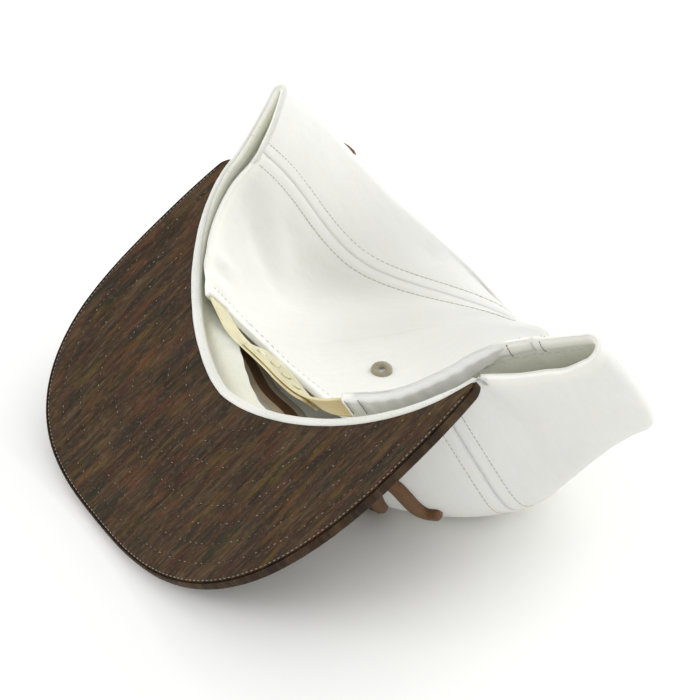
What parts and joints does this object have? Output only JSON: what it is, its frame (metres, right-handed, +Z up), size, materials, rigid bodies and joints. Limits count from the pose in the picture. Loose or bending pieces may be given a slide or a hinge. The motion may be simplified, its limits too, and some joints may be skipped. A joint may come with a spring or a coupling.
{
  "type": "snapback cap",
  "caption": "Soft cotton cap lying upside down with its back pushed in: four crown panels, sweatband, flat wood-print brim, snap strap under a back arch.",
  "frame": {"origin": "middle of the lying cap's footprint, on the surface it rests on", "axes": "+Z up, brim's front edge towards -Y, wearer's right side towards +X"},
  "size_m": [0.2124, 0.2066, 0.109],
  "materials": {
    "cotton": "white cotton twill",
    "sweat_cloth": "plain woven off-white cotton",
    "wood_print": "printed dark wood grain on smooth cloth",
    "plastic": "cream moulded, slightly translucent",
    "khaki_thread": "embroidery thread",
    "brown_thread": "satin-stitch thread"
  },
  "bodies": {
    "root": {"brim_top": "wood_print", "brim_underside": "wood_print", "crown_back": "cotton", "crown_front": "cotton", "crown_left": "cotton", "crown_right": "cotton", "eyelet": "khaki_thread", "front_motif": "brown_thread", "side_motif": "brown_thread", "strap_hole_half": "plastic", "strap_peg_half": "plastic", "sweatband": "sweat_cloth", "top_button": "cotton"}
  },
  "joints": []
}
